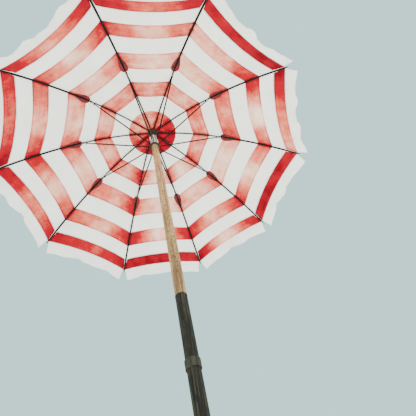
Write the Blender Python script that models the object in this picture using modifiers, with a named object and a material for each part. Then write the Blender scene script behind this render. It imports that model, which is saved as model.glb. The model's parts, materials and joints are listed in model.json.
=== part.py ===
"""Beach umbrella with a ten-rib canopy, on a wooden pole that slides in a tube with a sand spike.

Units are metres and +Z is up. The origin is the tip of the sand spike, and Z is the pole's axis.
Rib 01 points along +X and the others follow anticlockwise, seen from above. The height clamp and
the runner's catch are at the back, at +Y.
"""

import math

import bmesh
import bpy
from mathutils import Matrix, Vector

GAP = 0.0003

# Canopy frame
RIB_COUNT = 10
SECTOR = 2 * math.pi / RIB_COUNT
HALF_SECTOR = SECTOR / 2
CANOPY_RADIUS = 0.900
CANOPY_DROP = 0.440
HUB_RADIUS = 0.0285
PIVOT_RADIUS = 0.455
ROD_RADIUS = 0.0030
ROD_POINTS = 12

# Eyes, forks and pivots
EYE_RADIUS = 0.0033
EYE_THICKNESS = 0.0024
EYE_LENGTH = 0.019
STRUT_EYE_LENGTH = 0.027
RIB_ROD_START = 0.0165
STRUT_ROD_END = 0.023
HINGE_WIRE_RADIUS = 0.0012
HINGE_HOLE_RADIUS = 0.0016
CHEEK_RADIUS = 0.0032
CHEEK_THICKNESS = 0.0020
CHEEK_OFFSET = 0.0044
CHEEK_LENGTH = 0.026
BRIDGE_START = 0.0235
BRIDGE_LENGTH = 0.0075
RIVET_HEAD_RADIUS = 0.0024
RIVET_HEAD_INNER = 0.0057
RIVET_HEAD_OUTER = 0.0067
TIP_RADIUS = 0.0040

# Cloth
CLOTH_LIFT = 0.0057
CLOTH_THICKNESS = 0.0012
CLOTH_INNER_RADIUS = 0.040
CLOTH_EDGE_RADIUS = 0.890
CLOTH_BOW = 0.030
CLOTH_COLUMNS = 3
DOME_ROWS = 11
VALANCE_ROWS = 2
VALANCE_LENGTH = 0.075
VALANCE_HANG = math.radians(62)
NOTCH_HALF_WIDTH = 0.018
GUARD_LIFT = 0.0036
GUARD_THICKNESS = 0.0009
GUARD_START = 0.006
GUARD_LENGTH = 0.100
GUARD_HALF_WIDTH = 0.0215

# Heights on the pole
CROWN_Z = 2.430
CROWN_TOP = 0.012
CROWN_FOOT = -0.028
NECK_BOTTOM = -0.088
COLLAR_Z = 0.930
POLE_FOOT_Z = 0.500
TUBE_FOOT_Z = 0.300

# Pole, tube and hubs
POLE_RADIUS = 0.0215
TENON_RADIUS = 0.0150
TENON_TOP = 0.0097
HUB_OUTER_RADIUS = 0.0325
NECK_RADIUS = 0.0243
NECK_BORE = 0.0218
HUB_STEPS = 30
SLOT_FLOOR_RADIUS = 0.0245
SLOT_HALF_WIDTH = 0.0016
SLOT_TOP = 0.006
GROOVE_RADIUS = 0.0270
GROOVE_HALF_HEIGHT = 0.0016
RUNNER_BORE = 0.0222
SLEEVE_RADIUS = 0.0264
SLEEVE_TOP = -0.100
RUNNER_COLLAR_TOP = -0.092
RUNNER_COLLAR_RADIUS = 0.0274
FLANGE_RADIUS = 0.0318
FLANGE_HALF_HEIGHT = 0.006
SPIGOT_RADIUS = 0.0192
TUBE_RADIUS = 0.0215
TUBE_BORE = 0.0197
RIM_RADIUS = 0.0221
RIM_HEIGHT = 0.005

# Spring catch, below the runner
CATCH_HALF_WIDTH = 0.0020
CATCH_NOSE = 0.0256
CATCH_FACE = 0.0213
CATCH_BACK = 0.0125
CATCH_DROP = 0.048
POCKET_BACK = 0.0075
POCKET_CLEARANCE = 0.0006

# Height clamp
CLAMP_Z = 0.670
CLAMP_HALF_HEIGHT = 0.015
CLAMP_RADIUS = 0.0248
BOSS_RADIUS = 0.0095
BOSS_END = 0.036
STUD_RADIUS = 0.0040
STUD_HOLE_RADIUS = 0.0044
STUD_START = 0.0208
STUD_END = 0.0420
KNOB_RADIUS = 0.0160
KNOB_WAVE = 0.0014
KNOB_LOBES = 6
KNOB_START = 0.0423
KNOB_THICKNESS = 0.014

# Colours, roughness and metallic
CANVAS_RED = ((0.62, 0.05, 0.06), 0.85, 0.0)
CANVAS_STRIPED = ((0.80, 0.45, 0.40), 0.85, 0.0)
DARK_METAL = ((0.045, 0.045, 0.042), 0.50, 0.6)
SILVER = ((0.74, 0.74, 0.72), 0.35, 0.7)
WOOD = ((0.55, 0.42, 0.26), 0.65, 0.0)
RUBBER = ((0.03, 0.03, 0.03), 0.80, 0.0)
PLASTIC = ((0.06, 0.06, 0.058), 0.60, 0.0)
STEEL = ((0.55, 0.55, 0.55), 0.35, 1.0)


def new_collection(name):
    made = bpy.data.collections.new(name)
    bpy.context.scene.collection.children.link(made)
    return made


def new_material(name, look):
    """A Principled material from a colour, a roughness and a metallic value."""
    colour, roughness, metallic = look
    made = bpy.data.materials.new(name)
    made.use_nodes = True
    surface = made.node_tree.nodes["Principled BSDF"]
    surface.inputs["Base Color"].default_value = (*colour, 1.0)
    surface.inputs["Roughness"].default_value = roughness
    surface.inputs["Metallic"].default_value = metallic
    return made


def new_object(name, data):
    made = bpy.data.objects.new(name, data)
    UMBRELLA.objects.link(made)
    return made


def finish(made, look, smooth=True):
    """Give a piece its own material and its shading."""
    made.data.materials.clear()
    made.data.materials.append(new_material(made.name, look))
    if smooth:
        made.data.shade_smooth()
        made.data.set_sharp_from_angle(angle=math.radians(35))
    return made


def as_cutter(made):
    UMBRELLA.objects.unlink(made)
    CUTTERS.objects.link(made)
    made.hide_render = True
    made.display_type = "WIRE"
    return made


def baked(shape):
    """Replace a shape by a plain mesh object of its evaluated, welded form."""
    bpy.context.view_layer.update()
    graph = bpy.context.evaluated_depsgraph_get()
    mesh = bpy.data.meshes.new_from_object(shape.evaluated_get(graph))
    mesh.transform(shape.matrix_world)
    form = bmesh.new()
    form.from_mesh(mesh)
    bmesh.ops.remove_doubles(form, verts=form.verts, dist=0.000001)
    bmesh.ops.recalc_face_normals(form, faces=form.faces)
    form.to_mesh(mesh)
    form.free()
    name = shape.name
    bpy.data.objects.remove(shape)
    return new_object(name, mesh)


def boolean(target, tool, operation):
    step = target.modifiers.new(tool.name, "BOOLEAN")
    step.operation = operation
    step.solver = "EXACT"
    step.object = tool


def combined(target, joined, cut):
    """Union some shapes to a target, cut others from it, and bake the result."""
    for tool in joined:
        boolean(target, tool, "UNION")
    for tool in cut:
        boolean(target, tool, "DIFFERENCE")
    result = baked(target)
    for tool in joined + cut:
        bpy.data.objects.remove(tool)
    return result


def turned(name, profile, steps=24, closed=True):
    """Turn a profile of (radius, height) points, listed down its outer side, about Z."""
    outline = bpy.data.meshes.new(name)
    edges = [(i, i + 1) for i in range(len(profile) - 1)]
    if closed:
        edges.append((len(profile) - 1, 0))
    outline.from_pydata([(radius, 0.0, height) for radius, height in profile], edges, [])
    made = new_object(name, outline)
    turn = made.modifiers.new("Turn", "SCREW")
    turn.steps = steps
    turn.render_steps = steps
    turn.use_merge_vertices = True
    turn.merge_threshold = 0.00001
    return made


def cylinder(name, radius, start, end, segments=16):
    """A cylinder along Y between two distances."""
    form = bmesh.new()
    bmesh.ops.create_cone(form, cap_ends=True, segments=segments, radius1=radius, radius2=radius,
                          depth=end - start)
    turn = Matrix.Rotation(math.pi / 2, 4, "X")
    bmesh.ops.transform(form, matrix=Matrix.Translation((0, (start + end) / 2, 0)) @ turn,
                        verts=form.verts)
    mesh = bpy.data.meshes.new(name)
    form.to_mesh(mesh)
    form.free()
    return new_object(name, mesh)


def box(name, low, high):
    """A box between two corners."""
    form = bmesh.new()
    centre = [(a + b) / 2 for a, b in zip(low, high)]
    size = [b - a for a, b in zip(low, high)]
    place = Matrix.Translation(centre) @ Matrix.Diagonal((*size, 1.0))
    bmesh.ops.create_cube(form, size=1.0, matrix=place)
    mesh = bpy.data.meshes.new(name)
    form.to_mesh(mesh)
    form.free()
    return new_object(name, mesh)


def plate(name, outline, thickness):
    """A flat piece in the XZ plane, centred on Y = 0."""
    curve = bpy.data.curves.new(name, "CURVE")
    curve.dimensions = "2D"
    curve.fill_mode = "BOTH"
    curve.extrude = thickness / 2
    line = curve.splines.new("POLY")
    line.points.add(len(outline) - 1)
    for point, (x, z) in zip(line.points, outline):
        point.co = (x, z, 0.0, 1.0)
    line.use_cyclic_u = True
    made = new_object(name, curve)
    made.rotation_euler = (math.pi / 2, 0.0, 0.0)
    return baked(made)


def rod(name, points, radius):
    """A round rod through some points."""
    curve = bpy.data.curves.new(name, "CURVE")
    curve.dimensions = "3D"
    curve.bevel_depth = radius
    curve.bevel_resolution = 2
    curve.use_fill_caps = True
    line = curve.splines.new("POLY")
    line.points.add(len(points) - 1)
    for point, place in zip(line.points, points):
        point.co = (*place, 1.0)
    return baked(new_object(name, curve))


def eye_outline(radius, length, steps=6):
    """A strip with a round end about the origin, running along +X."""
    turn = [math.pi / 2 + math.pi * i / steps for i in range(steps + 1)]
    round_end = [(radius * math.cos(a), radius * math.sin(a)) for a in turn]
    return round_end + [(length, -radius), (length, radius)]


def copied(name, mesh, look, parent, turn=0.0, place=(0.0, 0.0, 0.0)):
    """One more object of a repeated piece, on its hinge."""
    made = new_object(name, mesh.copy())
    made.parent = parent
    made.location = place
    made.rotation_euler = (0.0, turn, 0.0)
    return finish(made, look)


# Canopy shape. Rib heights are measured from the rib hinges, radii from the pole's axis.

def rib_height(radius):
    share = (radius**2 - HUB_RADIUS**2) / (CANOPY_RADIUS**2 - HUB_RADIUS**2)
    return -CANOPY_DROP * share


def rib_slope(radius):
    return math.atan(2 * CANOPY_DROP * radius / (CANOPY_RADIUS**2 - HUB_RADIUS**2))


PIVOT_DROP = -rib_height(PIVOT_RADIUS)
STRUT_RUN = PIVOT_RADIUS - HUB_RADIUS
STRUT_LENGTH = math.hypot(STRUT_RUN, PIVOT_DROP)
STRUT_TURN = math.pi - math.atan2(PIVOT_DROP, STRUT_RUN)
PIVOT = Vector((STRUT_RUN, 0.0, -PIVOT_DROP))
RUNNER_Z = CROWN_Z - 2 * PIVOT_DROP


def cloth_point(radius, share, lift):
    """A point of the cloth on rib 01's +Y side, from the rib (share 0) to mid-panel (share 1).

    The cloth runs straight from rib to rib, and is drawn in towards the pole between them.
    """
    slope = rib_slope(radius)
    x = radius * (1 - share * math.sin(HALF_SECTOR) ** 2)
    y = radius * share * math.sin(HALF_SECTOR) * math.cos(HALF_SECTOR)
    bow = CLOTH_BOW * (radius / CANOPY_RADIUS) ** 2 * share * (2 - share)
    x -= bow * math.cos(HALF_SECTOR)
    y -= bow * math.sin(HALF_SECTOR)
    outward = lift * math.sin(slope)
    x += outward * math.cos(share * HALF_SECTOR)
    y += outward * math.sin(share * HALF_SECTOR)
    return Vector((x, y, rib_height(radius) + lift * math.cos(slope)))


def valance_point(drop, share, lift):
    """A point of the hanging edge, a distance below the cloth's edge at the rib tips."""
    edge = cloth_point(CLOTH_EDGE_RADIUS, share, lift)
    out = drop * math.cos(VALANCE_HANG)
    notch = NOTCH_HALF_WIDTH * math.sqrt(drop / VALANCE_LENGTH) * (1 - share)
    edge.x += out * math.cos(HALF_SECTOR) - notch * math.sin(HALF_SECTOR)
    edge.y += out * math.sin(HALF_SECTOR) + notch * math.cos(HALF_SECTOR)
    edge.z -= drop * math.sin(VALANCE_HANG)
    return edge


def shaped_grid(name, columns, rows, place):
    """A grid whose points are moved by a function of their two shares, from 0 to 1."""
    form = bmesh.new()
    bmesh.ops.create_grid(form, x_segments=columns, y_segments=rows, size=0.5)
    for vertex in form.verts:
        vertex.co = place(vertex.co.x + 0.5, vertex.co.y + 0.5)
    bmesh.ops.recalc_face_normals(form, faces=form.faces)
    form.faces.ensure_lookup_table()
    if form.faces[0].normal.z < 0:
        bmesh.ops.reverse_faces(form, faces=form.faces)
    mesh = bpy.data.meshes.new(name)
    form.to_mesh(mesh)
    form.free()
    return new_object(name, mesh)


def as_shell(sheet, thickness):
    """Mirror half a sheet across the rib, and thicken it outwards."""
    mirror = sheet.modifiers.new("Mirror", "MIRROR")
    mirror.use_axis = (False, True, False)
    mirror.merge_threshold = 0.00001
    solid = sheet.modifiers.new("Thickness", "SOLIDIFY")
    solid.thickness = thickness
    solid.offset = 1.0
    return baked(sheet)


def panel_shape():
    """The cloth on one rib: half a panel on each side, with the notch in the valance."""
    rows = DOME_ROWS + VALANCE_ROWS
    edge_gap = GAP / math.sin(HALF_SECTOR)

    def place(across, along):
        row = along * rows
        if row <= DOME_ROWS + 0.5:
            reach = CLOTH_EDGE_RADIUS - CLOTH_INNER_RADIUS
            radius = CLOTH_INNER_RADIUS + reach * row / DOME_ROWS
            point = cloth_point(radius, across * (1 - edge_gap / radius), CLOTH_LIFT)
        else:
            drop = VALANCE_LENGTH * (row - DOME_ROWS) / VALANCE_ROWS
            share = across * (1 - edge_gap / CLOTH_EDGE_RADIUS)
            point = valance_point(drop, share, CLOTH_LIFT)
        point.x -= HUB_RADIUS
        return point

    return as_shell(shaped_grid("panel", CLOTH_COLUMNS, rows, place), CLOTH_THICKNESS)


def guard_shape():
    """The diamond patch between the rib and the cloth, outside the strut's pivot."""
    def place(across, along):
        radius = PIVOT_RADIUS + GUARD_START + GUARD_LENGTH * along
        half_width = GUARD_HALF_WIDTH * (1.08 - abs(2 * along - 1))
        side = radius * math.sin(HALF_SECTOR) * math.cos(HALF_SECTOR)
        point = cloth_point(radius, across * half_width / side, GUARD_LIFT)
        point.x -= HUB_RADIUS
        return point

    return as_shell(shaped_grid("guard", 1, 4, place), GUARD_THICKNESS)


def rivet_shape():
    """The pivot pin through the rib, with its two heads, along Y."""
    profile = [(0.0, RIVET_HEAD_OUTER), (RIVET_HEAD_RADIUS, RIVET_HEAD_OUTER),
               (RIVET_HEAD_RADIUS, RIVET_HEAD_INNER), (HINGE_WIRE_RADIUS, RIVET_HEAD_INNER),
               (HINGE_WIRE_RADIUS, -RIVET_HEAD_INNER), (RIVET_HEAD_RADIUS, -RIVET_HEAD_INNER),
               (RIVET_HEAD_RADIUS, -RIVET_HEAD_OUTER), (0.0, -RIVET_HEAD_OUTER)]
    made = turned("rivet", profile, steps=8, closed=False)
    made.rotation_euler = (math.pi / 2, 0.0, 0.0)
    made.location = PIVOT
    return baked(made)


def tip_shape():
    form = bmesh.new()
    bmesh.ops.create_uvsphere(form, u_segments=8, v_segments=4, radius=TIP_RADIUS)
    mesh = bpy.data.meshes.new("tip")
    form.to_mesh(mesh)
    form.free()
    made = new_object("tip", mesh)
    made.location = (CANOPY_RADIUS - HUB_RADIUS, 0.0, rib_height(CANOPY_RADIUS))
    return baked(made)


def rib_shape():
    """A rib about its hinge: a flattened eye, a curved rod, the pivot rivet and a ball tip."""
    start = HUB_RADIUS + RIB_ROD_START
    steps = [start + (CANOPY_RADIUS - start) * i / (ROD_POINTS - 1) for i in range(ROD_POINTS)]
    line = rod("rib", [(r - HUB_RADIUS, 0.0, rib_height(r)) for r in steps], ROD_RADIUS)
    eye = plate("eye", eye_outline(EYE_RADIUS, EYE_LENGTH), EYE_THICKNESS)
    hole = cylinder("hole", HINGE_HOLE_RADIUS, -0.005, 0.005, 10)
    return combined(line, [eye, rivet_shape(), tip_shape()], [hole])


def cheek(name, side):
    made = plate(name, eye_outline(CHEEK_RADIUS, CHEEK_LENGTH), CHEEK_THICKNESS)
    made.location = (0.0, side * CHEEK_OFFSET, 0.0)
    return baked(made)


def strut_shape():
    """A strut about its pivot on the rib, running along +X to the eye at the runner."""
    ends = [(BRIDGE_START + BRIDGE_LENGTH / 2, 0.0, 0.0), (STRUT_LENGTH - STRUT_ROD_END, 0.0, 0.0)]
    line = rod("strut", ends, ROD_RADIUS)
    half_width = CHEEK_OFFSET + CHEEK_THICKNESS / 2
    bridge = box("bridge", (BRIDGE_START, -half_width, -CHEEK_RADIUS),
                 (BRIDGE_START + BRIDGE_LENGTH, half_width, CHEEK_RADIUS))
    eye = plate("eye", eye_outline(EYE_RADIUS, STRUT_EYE_LENGTH), EYE_THICKNESS)
    eye.location = (STRUT_LENGTH, 0.0, 0.0)
    eye.rotation_euler = (0.0, math.pi, 0.0)
    eye = baked(eye)
    pivot_hole = cylinder("pivot_hole", HINGE_HOLE_RADIUS, -0.008, 0.008, 10)
    eye_hole = cylinder("eye_hole", HINGE_HOLE_RADIUS, -0.008, 0.008, 10)
    eye_hole.location = (STRUT_LENGTH, 0.0, 0.0)
    cheeks = [cheek("cheek_a", 1), cheek("cheek_b", -1)]
    return combined(line, [bridge] + cheeks + [eye], [pivot_hole, baked(eye_hole)])


def canopy_frame():
    """Ribs, struts, guards and cloth, each set on an empty at its rib's hinge."""
    shapes = [rib_shape(), strut_shape(), guard_shape(), panel_shape()]
    rib_mesh, strut_mesh, guard_mesh, panel_mesh = [shape.data for shape in shapes]
    for shape in shapes:
        bpy.data.objects.remove(shape)
    for i in range(RIB_COUNT):
        number = f"{i + 1:02d}"
        azimuth = i * SECTOR
        hinge = new_object("rib_hinge_" + number, None)
        hinge.location = (HUB_RADIUS * math.cos(azimuth), HUB_RADIUS * math.sin(azimuth), CROWN_Z)
        hinge.rotation_euler = (0.0, 0.0, azimuth)
        copied("rib_" + number, rib_mesh, DARK_METAL, hinge)
        copied("strut_" + number, strut_mesh, DARK_METAL, hinge, STRUT_TURN, PIVOT)
        copied("rib_guard_" + number, guard_mesh, CANVAS_RED, hinge)
        copied("canopy_panel_" + number, panel_mesh, CANVAS_STRIPED, hinge)


def slot_cutter(name, low, high):
    """Ten radial slots for eyes, between two heights."""
    form = bmesh.new()
    for i in range(RIB_COUNT):
        size = (0.020, 2 * SLOT_HALF_WIDTH, high - low)
        centre = (SLOT_FLOOR_RADIUS + size[0] / 2, 0.0, (low + high) / 2)
        place = Matrix.Rotation(i * SECTOR, 4, "Z") @ Matrix.Translation(centre)
        bmesh.ops.create_cube(form, size=1.0, matrix=place @ Matrix.Diagonal((*size, 1.0)))
    mesh = bpy.data.meshes.new(name)
    form.to_mesh(mesh)
    form.free()
    return as_cutter(new_object(name, mesh))


def crown():
    """The slotted crown with its neck round the pole, and the wire that the ribs hinge on."""
    bore = TENON_RADIUS + GAP
    screw_hole = STUD_RADIUS + GAP
    bore_top = TENON_TOP + GAP
    profile = [(screw_hole, CROWN_TOP), (HUB_OUTER_RADIUS - 0.003, CROWN_TOP),
               (HUB_OUTER_RADIUS, CROWN_TOP - 0.003), (HUB_OUTER_RADIUS, GROOVE_HALF_HEIGHT),
               (GROOVE_RADIUS, GROOVE_HALF_HEIGHT), (GROOVE_RADIUS, -GROOVE_HALF_HEIGHT),
               (HUB_OUTER_RADIUS, -GROOVE_HALF_HEIGHT), (HUB_OUTER_RADIUS, CROWN_FOOT + 0.008),
               (HUB_OUTER_RADIUS - 0.004, CROWN_FOOT), (NECK_RADIUS, CROWN_FOOT - 0.008),
               (NECK_RADIUS, NECK_BOTTOM), (NECK_BORE, NECK_BOTTOM), (NECK_BORE, CROWN_FOOT),
               (bore, CROWN_FOOT), (bore, bore_top), (screw_hole, bore_top)]
    body = turned("crown", profile, steps=HUB_STEPS)
    body.location.z = CROWN_Z
    slots = slot_cutter("crown_slots", CROWN_FOOT - 0.010, SLOT_TOP)
    slots.location.z = CROWN_Z
    boolean(body, slots, "DIFFERENCE")
    finish(body, DARK_METAL)

    bpy.ops.mesh.primitive_torus_add(major_segments=HUB_STEPS, minor_segments=6,
                                     major_radius=HUB_RADIUS, minor_radius=HINGE_WIRE_RADIUS,
                                     location=(0, 0, CROWN_Z))
    wire = bpy.context.object
    for home in wire.users_collection:
        home.objects.unlink(wire)
    UMBRELLA.objects.link(wire)
    wire.name = "crown_hinge_wire"
    finish(wire, STEEL)


def cap_and_finial():
    """The cap over the canopy's centre, and the finial whose screw holds it on the crown."""
    hole = STUD_RADIUS + GAP
    low = CROWN_TOP + GAP
    cap = turned("canopy_cap", [(hole, low + 0.0018), (0.034, low + 0.0018), (0.058, 0.0098),
                                (0.058, 0.0082), (0.034, low), (hole, low)])
    cap.location.z = CROWN_Z
    finish(cap, CANVAS_RED)

    base = low + 0.0018 + GAP
    profile = [(0.0, 0.062), (0.006, 0.0605), (0.0105, 0.0565), (0.0120, 0.051), (0.0105, 0.0455),
               (0.0070, 0.041), (0.0055, 0.034), (0.0075, 0.026), (0.0150, base + 0.006),
               (0.0160, base + 0.003), (0.0160, base), (STUD_RADIUS, base),
               (STUD_RADIUS, TENON_TOP + 0.0008), (0.0, TENON_TOP + 0.0008)]
    finial = turned("finial", profile, steps=20, closed=False)
    finial.location.z = CROWN_Z
    finish(finial, WOOD)


def upper_pole():
    """The wooden pole with a tenon at its top, the catch's pocket, and a spigot that ends in a plug."""
    shoulder = CROWN_Z + CROWN_FOOT - GAP
    step = COLLAR_Z + RIM_HEIGHT + GAP
    tenon_top = CROWN_Z + TENON_TOP
    pole = turned("upper_pole", [(0.0, tenon_top), (TENON_RADIUS, tenon_top),
                                 (TENON_RADIUS, shoulder), (POLE_RADIUS, shoulder),
                                 (POLE_RADIUS, step), (SPIGOT_RADIUS, step),
                                 (SPIGOT_RADIUS, POLE_FOOT_Z), (0.0, POLE_FOOT_Z)], closed=False)
    top = RUNNER_Z - FLANGE_HALF_HEIGHT - GAP
    side = CATCH_HALF_WIDTH + POCKET_CLEARANCE
    pocket = as_cutter(box("catch_pocket", (-side, POCKET_BACK, top - CATCH_DROP - 0.004),
                           (side, 0.030, top + POCKET_CLEARANCE)))
    boolean(pole, pocket, "DIFFERENCE")
    finish(pole, WOOD)

    high = POLE_FOOT_Z - GAP
    plug = turned("pole_plug", [(0.0, high), (SPIGOT_RADIUS, high),
                                (SPIGOT_RADIUS, high - 0.010), (SPIGOT_RADIUS - 0.003, high - 0.013),
                                (0.0, high - 0.013)], closed=False)
    finish(plug, RUBBER)


def spring_catch():
    """The catch that the runner rests on. It slides into the pole along Y."""
    top = -POCKET_CLEARANCE / 2
    outline = [(CATCH_BACK, top), (CATCH_NOSE - 0.0008, top), (CATCH_NOSE, top - 0.0010),
               (CATCH_NOSE, top - 0.0060), (CATCH_FACE, top - 0.0240), (CATCH_FACE, -CATCH_DROP),
               (CATCH_BACK, -CATCH_DROP)]
    flat = plate("spring_catch", outline, 2 * CATCH_HALF_WIDTH)
    flat.rotation_euler = (0.0, 0.0, math.pi / 2)
    flat.location = (0.0, 0.0, RUNNER_Z - FLANGE_HALF_HEIGHT - GAP)
    finish(flat, STEEL, smooth=False)


def runner():
    """The sleeve that slides on the pole, its top collar and its slotted strut flange."""
    flange_top = RUNNER_Z + FLANGE_HALF_HEIGHT
    flange = turned("runner_flange", [(RUNNER_BORE, FLANGE_HALF_HEIGHT),
                                      (FLANGE_RADIUS - 0.001, FLANGE_HALF_HEIGHT),
                                      (FLANGE_RADIUS, FLANGE_HALF_HEIGHT - 0.001),
                                      (FLANGE_RADIUS, 0.001 - FLANGE_HALF_HEIGHT),
                                      (FLANGE_RADIUS - 0.001, -FLANGE_HALF_HEIGHT),
                                      (RUNNER_BORE, -FLANGE_HALF_HEIGHT)], steps=HUB_STEPS)
    flange.location.z = RUNNER_Z
    slots = slot_cutter("runner_slots", -2 * FLANGE_HALF_HEIGHT, 2 * FLANGE_HALF_HEIGHT)
    slots.location.z = RUNNER_Z
    boolean(flange, slots, "DIFFERENCE")
    finish(flange, DARK_METAL)

    top = CROWN_Z + SLEEVE_TOP
    foot = flange_top + GAP
    sleeve = turned("runner_sleeve", [(RUNNER_BORE, top), (SLEEVE_RADIUS, top),
                                      (SLEEVE_RADIUS, foot), (RUNNER_BORE, foot)])
    finish(sleeve, SILVER)

    low = top + GAP
    high = CROWN_Z + RUNNER_COLLAR_TOP
    collar = turned("runner_collar", [(RUNNER_BORE, high), (RUNNER_COLLAR_RADIUS - 0.001, high),
                                      (RUNNER_COLLAR_RADIUS, high - 0.001),
                                      (RUNNER_COLLAR_RADIUS, low), (RUNNER_BORE, low)])
    finish(collar, SILVER)


def lower_pole():
    """The dark tube that the wooden pole telescopes into, its rim and its sand spike."""
    stud_hole = as_cutter(cylinder("stud_hole", STUD_HOLE_RADIUS, 0.010, 0.060))
    stud_hole.location.z = CLAMP_Z
    foot = TUBE_FOOT_Z + GAP
    tube = turned("lower_tube", [(TUBE_BORE, COLLAR_Z), (TUBE_RADIUS, COLLAR_Z),
                                 (TUBE_RADIUS, foot), (TUBE_BORE, foot)])
    boolean(tube, stud_hole, "DIFFERENCE")
    finish(tube, DARK_METAL)

    top = COLLAR_Z + RIM_HEIGHT
    rim = turned("tube_rim", [(TUBE_BORE, top), (RIM_RADIUS - 0.0006, top), (RIM_RADIUS, top - 0.0006),
                              (RIM_RADIUS, COLLAR_Z + GAP), (TUBE_BORE, COLLAR_Z + GAP)])
    finish(rim, DARK_METAL)

    stem = TUBE_BORE - GAP
    spike = turned("sand_spike", [(0.0, 0.350), (stem - 0.002, 0.350), (stem, 0.346),
                                  (stem, TUBE_FOOT_Z), (0.0245, TUBE_FOOT_Z), (0.0245, 0.272),
                                  (0.0218, 0.262), (0.0212, 0.215), (0.0160, 0.110),
                                  (0.0060, 0.010), (0.0040, 0.0), (0.0, 0.0)], steps=24, closed=False)
    finish(spike, PLASTIC)


def height_clamp():
    """The band round the tube with its boss, and the screw with its knob."""
    inner = TUBE_RADIUS + GAP
    band = turned("clamp_band", [(inner, CLAMP_HALF_HEIGHT), (CLAMP_RADIUS, CLAMP_HALF_HEIGHT),
                                 (CLAMP_RADIUS, -CLAMP_HALF_HEIGHT), (inner, -CLAMP_HALF_HEIGHT)])
    boss = cylinder("boss", BOSS_RADIUS, inner + 0.0012, BOSS_END, 24)
    hole = cylinder("hole", STUD_HOLE_RADIUS, 0.010, 0.060)
    band = combined(band, [boss], [hole])
    band.location.z = CLAMP_Z
    finish(band, DARK_METAL)

    stud = cylinder("clamp_stud", STUD_RADIUS, STUD_START, STUD_END)
    stud.location.z = CLAMP_Z
    finish(stud, STEEL)

    turns = [2 * math.pi * i / 36 for i in range(36)]
    reach = [KNOB_RADIUS + KNOB_WAVE * math.cos(KNOB_LOBES * a) for a in turns]
    outline = [(r * math.cos(a), r * math.sin(a)) for r, a in zip(reach, turns)]
    knob = plate("clamp_knob", outline, KNOB_THICKNESS)
    knob.location = (0.0, KNOB_START + KNOB_THICKNESS / 2, CLAMP_Z)
    finish(knob, RUBBER)


for old in list(bpy.data.objects):
    bpy.data.objects.remove(old)

UMBRELLA = new_collection("beach_umbrella")
CUTTERS = new_collection("cutters")

lower_pole()
height_clamp()
upper_pole()
crown()
cap_and_finial()
spring_catch()
runner()
canopy_frame()
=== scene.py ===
"""Looks for the beach umbrella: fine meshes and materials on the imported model's bodies.

Metres, +Z up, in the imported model's frame: the pole's axis is Z, rib 01 points along +X and the ribs
are numbered anticlockwise seen from above. Panel k is the cloth between rib k and rib k + 1, counted
from 0. A point of a panel has a turn from 0 at its first rib to 1 at its second.
"""

import json
import math

import bmesh
import bpy
from mathutils import Matrix, Vector, noise


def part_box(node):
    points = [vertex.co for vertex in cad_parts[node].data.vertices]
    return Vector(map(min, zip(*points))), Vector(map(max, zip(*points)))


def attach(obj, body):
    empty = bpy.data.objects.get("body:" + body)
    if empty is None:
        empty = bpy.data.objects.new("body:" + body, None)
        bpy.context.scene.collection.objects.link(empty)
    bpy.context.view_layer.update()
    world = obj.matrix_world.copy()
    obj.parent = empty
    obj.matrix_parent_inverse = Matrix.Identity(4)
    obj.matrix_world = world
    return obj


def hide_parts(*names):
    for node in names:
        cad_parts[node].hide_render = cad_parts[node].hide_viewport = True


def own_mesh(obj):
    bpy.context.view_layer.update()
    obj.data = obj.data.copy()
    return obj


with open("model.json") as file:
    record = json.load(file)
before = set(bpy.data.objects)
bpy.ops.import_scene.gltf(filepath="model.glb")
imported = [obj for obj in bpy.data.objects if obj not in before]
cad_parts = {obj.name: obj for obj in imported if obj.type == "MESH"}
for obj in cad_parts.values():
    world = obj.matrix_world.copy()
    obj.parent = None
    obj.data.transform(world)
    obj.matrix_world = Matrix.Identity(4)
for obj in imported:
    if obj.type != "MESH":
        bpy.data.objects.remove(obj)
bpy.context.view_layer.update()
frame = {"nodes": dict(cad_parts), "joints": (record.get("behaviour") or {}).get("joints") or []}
JOINTS = {joint["name"]: joint for joint in frame["joints"]}

# Canopy frame, as in the CAD model
RIB_COUNT = 10
SECTOR = 2 * math.pi / RIB_COUNT
HALF_SECTOR = SECTOR / 2
NUMBERS = [f"{i + 1:02d}" for i in range(RIB_COUNT)]
HUB_RADIUS, _, CROWN_Z = JOINTS["rib_hinge_01"]["pos_m"]
PIVOT_RADIUS, _, PIVOT_Z = JOINTS["strut_pivot_01"]["pos_m"]
CANOPY_RADIUS = 0.900
CANOPY_DROP = 0.440
ROD_RADIUS = 0.0030
INNER_ROD_HALF_WIDTH = 0.0044
OUTER_ROD_HALF_WIDTH = 0.0055
EYE_RADIUS = 0.0033
EYE_HALF = 0.0012
PIVOT_DROP = CROWN_Z - PIVOT_Z
RUNNER_Z = CROWN_Z - 2 * PIVOT_DROP
STRUT_RUN = PIVOT_RADIUS - HUB_RADIUS
STRUT_LENGTH = math.hypot(STRUT_RUN, PIVOT_DROP)
STRUT_TURN = math.pi - math.atan2(PIVOT_DROP, STRUT_RUN)

# Cloth
CLOTH_LIFT = 0.0057
CLOTH_THICKNESS = 0.0009
HEM_THICKNESS = 0.0016
CLOTH_INNER_RADIUS = 0.036
CLOTH_EDGE_RADIUS = 0.890
CLOTH_BOW = 0.030
UNDULATION = 0.0030
DOME_ROWS = 72
VALANCE_ROWS = 10
SIDE_COLUMNS = 10
VALANCE_LENGTH = 0.075
VALANCE_HANG = math.radians(62)
NOTCH_HALF_WIDTH = 0.018
FLUTTER = 0.009
NOTCH_FLARE = 0.007
HEM_WIDTH = 0.010
SEAM_HALF_WIDTH = 0.006
STITCH_PITCH = 0.0085
STITCH_LENGTH = 0.0055
STITCH_HALF_WIDTH = 0.0004

# Red bands, as shares of the canopy's radius, from the centre outwards
BANDS = ((0.0, 0.179), (0.310, 0.430), (0.535, 0.652), (0.762, 0.850), (0.930, 0.992))
BAND_BLUR = 0.0012
BAND_EDGE = 0.010
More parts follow.
